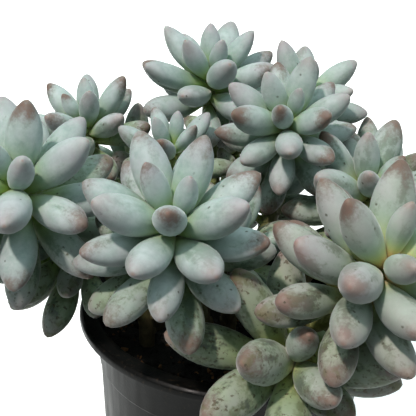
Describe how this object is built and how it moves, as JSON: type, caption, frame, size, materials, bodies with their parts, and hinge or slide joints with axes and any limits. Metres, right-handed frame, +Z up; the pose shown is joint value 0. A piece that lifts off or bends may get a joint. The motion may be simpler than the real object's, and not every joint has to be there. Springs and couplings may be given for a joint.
{
  "type": "potted pachyphytum",
  "caption": "Bushy succulent with rosettes of plump, powdery blue-green leaves on short stems, standing in a round black plastic nursery pot filled with soil.",
  "frame": {"origin": "middle of the pot's underside, on the surface that the pot stands on", "axes": "+Z up; the side that the picture shows faces -Y, with +X to its right"},
  "size_m": [0.2238, 0.2255, 0.2013],
  "materials": {
    "pot": "thin thermoformed black polypropylene, satin",
    "soil": "dark crumbly peat with small brown grains, matt",
    "leaf": "plump blue-green leaves under a powdery bloom, with pinkish-brown tips and greener bases"
  },
  "bodies": {
    "root": {"pot": "pot", "soil": "soil", "shoot_centre": "leaf", "shoot_left": "leaf", "shoot_left_back": "leaf", "shoot_small_back": "leaf", "shoot_top": "leaf", "shoot_right_back": "leaf", "shoot_far_back": "leaf", "shoot_right_middle": "leaf", "shoot_right_edge": "leaf", "shoot_right_front": "leaf", "shoot_lower_front": "leaf", "shoot_lower_left": "leaf", "shoot_middle": "leaf", "shoot_back_left": "leaf", "shoot_back_right": "leaf", "shoot_heart": "leaf", "shoot_back_middle": "leaf"}
  },
  "joints": []
}
